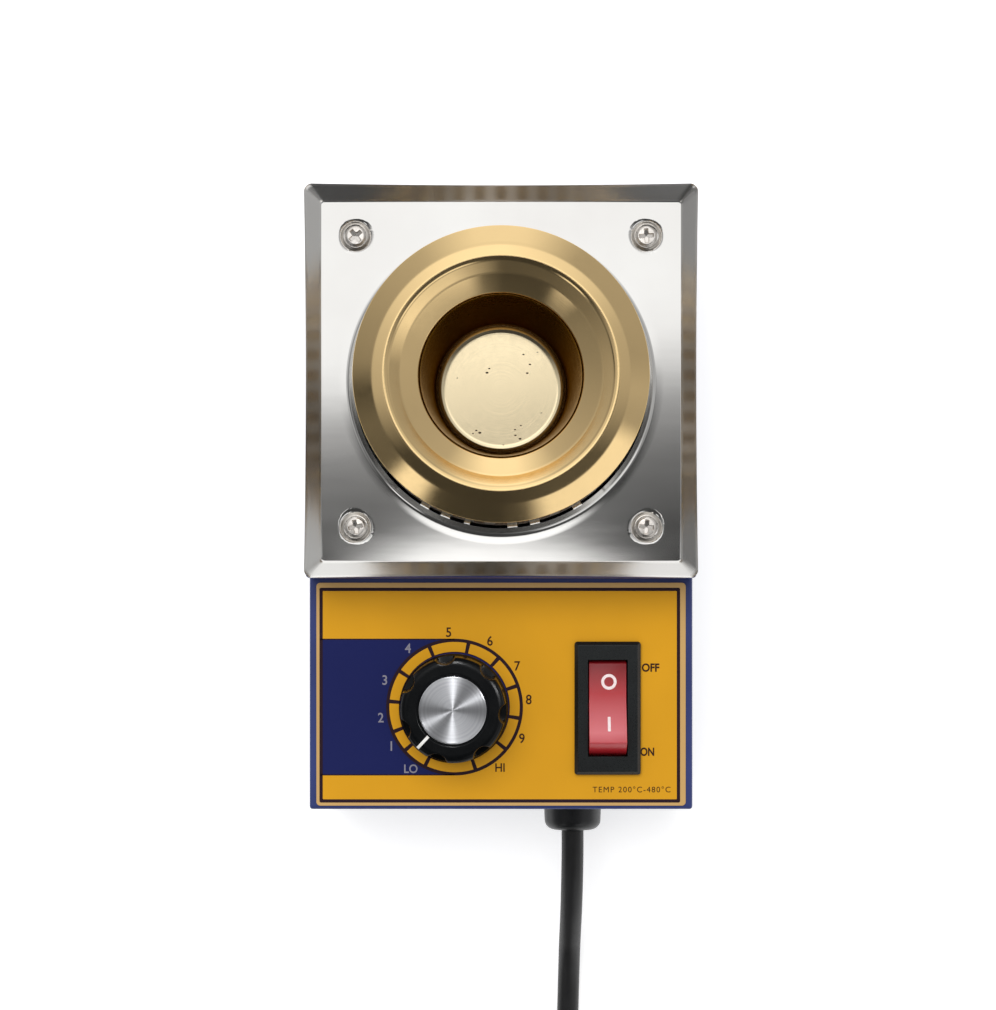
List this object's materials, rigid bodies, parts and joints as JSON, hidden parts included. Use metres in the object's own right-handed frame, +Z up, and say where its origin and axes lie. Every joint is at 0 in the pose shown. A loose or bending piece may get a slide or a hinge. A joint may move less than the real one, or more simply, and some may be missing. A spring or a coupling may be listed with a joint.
{
  "type": "solder pot",
  "caption": "Small electric solder pot: stepped blue sheet-metal case with a round gold-coloured crucible in a steel tray, a temperature dial, a rocker switch and a mains lead.",
  "frame": {"origin": "middle of the case and tray's footprint, on the bench under the feet", "axes": "+X to the right as seen from the front, +Y from the control panel towards the crucible, +Z up"},
  "size_m": [0.117, 0.361, 0.088],
  "materials": {
    "rubber_foot": "moulded black rubber",
    "zinc_steel": "bright zinc plate",
    "steel_screw": "polished nickel plate",
    "blue_powder_coat": "semi-gloss blue powder coat",
    "polished_stainless": "mirror-polished stainless sheet",
    "shroud_stainless": "satin stainless sheet",
    "gold_coated_steel": "spun stainless with gold-coloured hard coat",
    "ceramic_fibre": "pressed ceramic fibre",
    "steatite": "fired unglazed ceramic",
    "resistance_wire": "oxidised nickel-chrome wire",
    "mica_sheet": "laminated mica",
    "glass_sleeving": "woven glass sleeving",
    "printed_film": "printed polycarbonate film",
    "control_plastic": "moulded phenolic",
    "tinned_brass": "tinned brass",
    "machined_aluminium": "turned aluminium",
    "knob_bakelite": "black phenolic, glossy",
    "spun_aluminium": "radially brushed aluminium",
    "pointer_paint": "white paint fill",
    "black_steel": "black oxide steel",
    "switch_nylon": "moulded black nylon",
    "rocker_red": "translucent red polycarbonate",
    "lamp_glass": "neon lamp glass",
    "plain_brass": "machined brass",
    "board_phenolic": "phenolic laminate",
    "device_epoxy": "moulded epoxy",
    "film_capacitor": "yellow moulded box",
    "enamelled_copper": "enamelled copper winding",
    "resistor_body": "lacquered ceramic",
    "block_nylon": "natural nylon",
    "wire_yellow": "insulated wire",
    "wire_brown": "insulated wire",
    "wire_black": "insulated wire",
    "wire_blue": "insulated wire",
    "wire_green": "insulated wire",
    "gland_nylon": "moulded black nylon",
    "cord_sheath": "matte black cable sheath",
    "tie_plastic": "black strap",
    "plug_vinyl": "moulded black vinyl"
  },
  "bodies": {
    "root": {"rubber_feet": "rubber_foot", "foot_screws": "zinc_steel", "base_plate": "blue_powder_coat", "base_screws": "zinc_steel", "housing": "blue_powder_coat", "tray": "polished_stainless", "tray_screws": "steel_screw", "m3_nuts": "zinc_steel", "crucible": "gold_coated_steel", "heater_shroud": "shroud_stainless", "insulation_disc": "ceramic_fibre", "heater_former": "steatite", "heater_winding": "resistance_wire", "heater_sleeve": "mica_sheet", "insulation_sleeve": "ceramic_fibre", "heater_bracket": "zinc_steel", "bracket_screws": "zinc_steel", "heater_leads": "glass_sleeving", "panel_label": "printed_film", "control_body": "control_plastic", "control_washer": "zinc_steel", "control_nut": "zinc_steel", "control_lugs": "tinned_brass", "switch_body": "switch_nylon", "switch_lamp": "lamp_glass", "switch_terminals": "plain_brass", "circuit_board": "board_phenolic", "board_pillars": "plain_brass", "board_screws": "zinc_steel", "triac": "device_epoxy", "heat_sink": "machined_aluminium", "capacitor": "film_capacitor", "choke": "enamelled_copper", "resistors": "resistor_body", "terminal_block": "block_nylon", "control_wires": "wire_yellow", "live_wire": "wire_brown", "switched_wire": "wire_black", "neutral_wire": "wire_blue", "earth_wire": "wire_green", "ring_terminal": "tinned_brass", "earth_stud": "plain_brass", "earth_nut": "plain_brass", "cord_gland": "gland_nylon", "gland_nut": "gland_nylon", "cord_inner_end": "cord_sheath", "cord_run": "cord_sheath", "cord_coil": "cord_sheath", "coil_tie": "tie_plastic", "cord_tail": "cord_sheath", "plug_body": "plug_vinyl", "plug_pins": "plain_brass"},
    "knob": {"control_shaft": "machined_aluminium", "knob": "knob_bakelite", "knob_cap": "spun_aluminium", "knob_pointer": "pointer_paint", "knob_set_screw": "black_steel"},
    "rocker": {"rocker": "rocker_red"}
  },
  "joints": [
    {"name": "knob_turn", "type": "hinge", "parent": "root", "child": "knob", "pos_m": [-0.0123, -0.0536, 0.0522], "axis": [0, 0, 1], "range_deg": [-287, 13]},
    {"name": "rocker_tilt", "type": "hinge", "parent": "root", "child": "rocker", "pos_m": [0.0277, -0.0536, 0.047], "axis": [1, 0, 0], "range_deg": [0, 21]}
  ]
}
